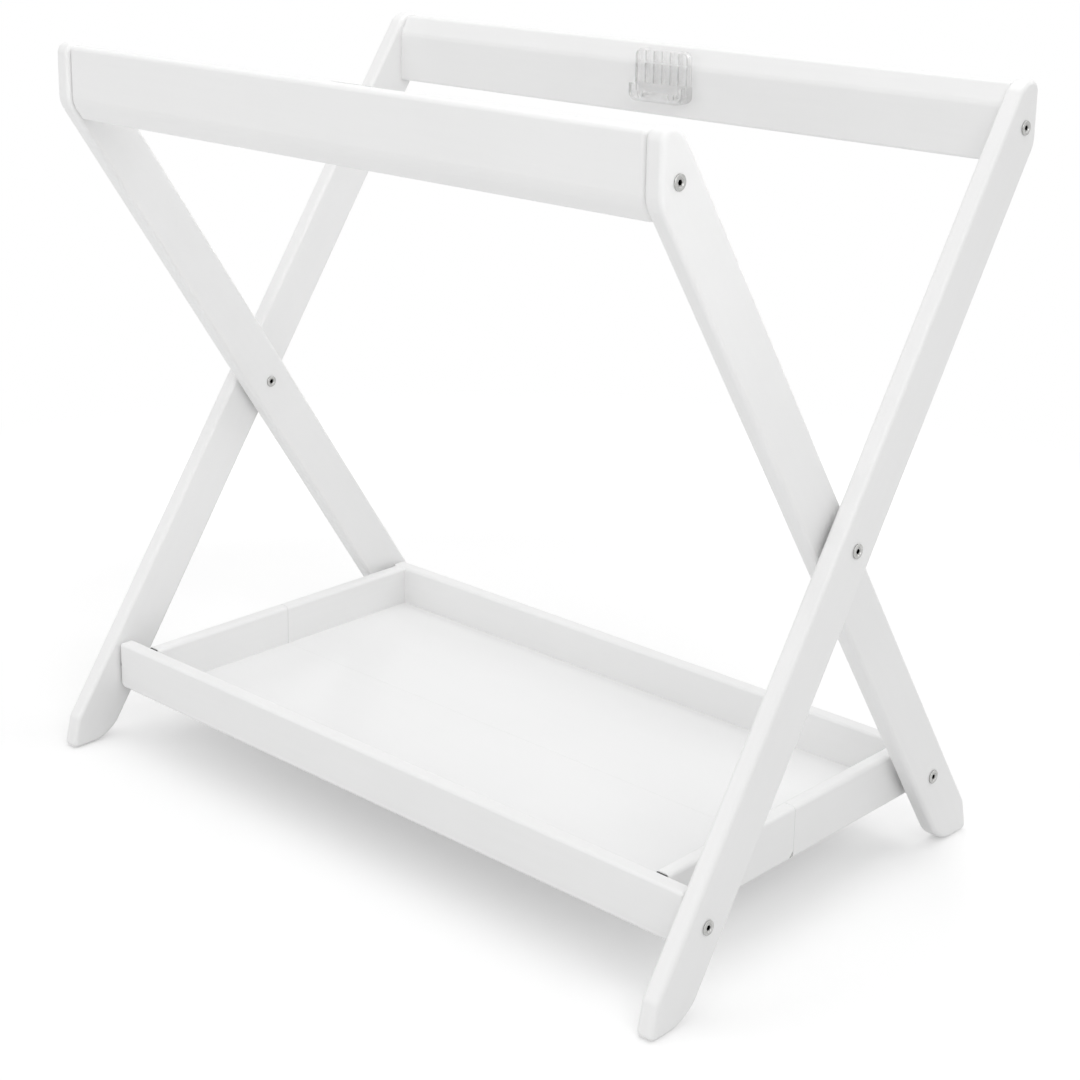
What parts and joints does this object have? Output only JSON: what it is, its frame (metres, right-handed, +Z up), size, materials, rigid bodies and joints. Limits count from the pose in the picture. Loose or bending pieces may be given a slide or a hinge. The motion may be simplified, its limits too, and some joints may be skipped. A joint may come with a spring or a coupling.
{
  "type": "bassinet_stand",
  "caption": "folding wooden bassinet stand painted white, with crossing legs, a shallow hinged tray below and a clear bracket on each top rail",
  "frame": {"origin": "on the floor under the middle of the stand", "axes": "+X along the stand from its left end to its right end, +Y from the front to the back, +Z up"},
  "size_m": [0.803, 0.5032, 0.731],
  "materials": {
    "white_painted_wood": "satin white paint over solid wood",
    "white_panel": "smooth white faced board, slightly glossy",
    "beech_dowel": "bare beech",
    "nickel_steel": "dull nickel plate",
    "brass_insert": "plain turned brass",
    "grey_nylon": "plain moulded",
    "clear_plastic": "clear, polished mould"
  },
  "bodies": {
    "outer_frame": {"outer_leg_left": "white_painted_wood", "outer_leg_right": "white_painted_wood", "back_top_rail": "white_painted_wood", "outer_top_bolt_left": "nickel_steel", "outer_top_bolt_right": "nickel_steel", "outer_top_insert_left": "brass_insert", "outer_top_insert_right": "brass_insert", "outer_rail_dowel_left": "beech_dowel", "outer_rail_dowel_right": "beech_dowel", "pivot_bolt_left": "nickel_steel", "pivot_bolt_right": "nickel_steel", "pivot_sleeve_nut_left": "nickel_steel", "pivot_sleeve_nut_right": "nickel_steel", "pivot_spacer_left": "grey_nylon", "pivot_spacer_right": "grey_nylon", "back_bracket": "clear_plastic", "back_bracket_screw_left": "nickel_steel", "back_bracket_screw_right": "nickel_steel"},
    "inner_frame": {"inner_leg_left": "white_painted_wood", "inner_leg_right": "white_painted_wood", "front_top_rail": "white_painted_wood", "inner_top_bolt_left": "nickel_steel", "inner_top_bolt_right": "nickel_steel", "inner_top_insert_left": "brass_insert", "inner_top_insert_right": "brass_insert", "inner_rail_dowel_left": "beech_dowel", "inner_rail_dowel_right": "beech_dowel", "front_bracket": "clear_plastic", "front_bracket_screw_left": "nickel_steel", "front_bracket_screw_right": "nickel_steel", "back_tray_bolt_left": "nickel_steel", "back_tray_bolt_right": "nickel_steel", "back_tray_washer_left": "grey_nylon", "back_tray_washer_right": "grey_nylon"},
    "front_tray": {"front_tray_rail": "white_painted_wood", "front_tray_insert_left": "brass_insert", "front_tray_insert_right": "brass_insert", "front_tray_bolt_left": "nickel_steel", "front_tray_bolt_right": "nickel_steel", "front_tray_washer_left": "grey_nylon", "front_tray_washer_right": "grey_nylon", "front_end_rail_left": "white_painted_wood", "front_end_rail_right": "white_painted_wood", "front_floor_panel": "white_panel", "front_hinge_leaf_left": "nickel_steel", "front_hinge_leaf_right": "nickel_steel", "hinge_pin_left": "nickel_steel", "hinge_pin_right": "nickel_steel"},
    "back_tray": {"back_tray_rail": "white_painted_wood", "back_tray_insert_left": "brass_insert", "back_tray_insert_right": "brass_insert", "back_end_rail_left": "white_painted_wood", "back_end_rail_right": "white_painted_wood", "back_floor_panel": "white_panel", "back_hinge_leaf_left": "nickel_steel", "back_hinge_leaf_right": "nickel_steel"}
  },
  "joints": [
    {"name": "fold", "type": "hinge", "parent": "outer_frame", "child": "inner_frame", "pos_m": [0, 0, 0.3545], "axis": [-1, 0, 0], "range_deg": [0, 51.4]},
    {"name": "front_tray_hinge", "type": "hinge", "parent": "outer_frame", "child": "front_tray", "pos_m": [0, -0.18476, 0.07746], "axis": [1, 0, 0], "range_deg": [0, 57.3]},
    {"name": "back_tray_hinge", "type": "hinge", "parent": "front_tray", "child": "back_tray", "pos_m": [0, 0, 0.05346], "axis": [-1, 0, 0], "range_deg": [0, 166]}
  ],
  "couplings": [
    {"joint": "front_tray_hinge", "follows": "fold", "ratio": 1.1147},
    {"joint": "back_tray_hinge", "follows": "fold", "ratio": 3.2294}
  ]
}
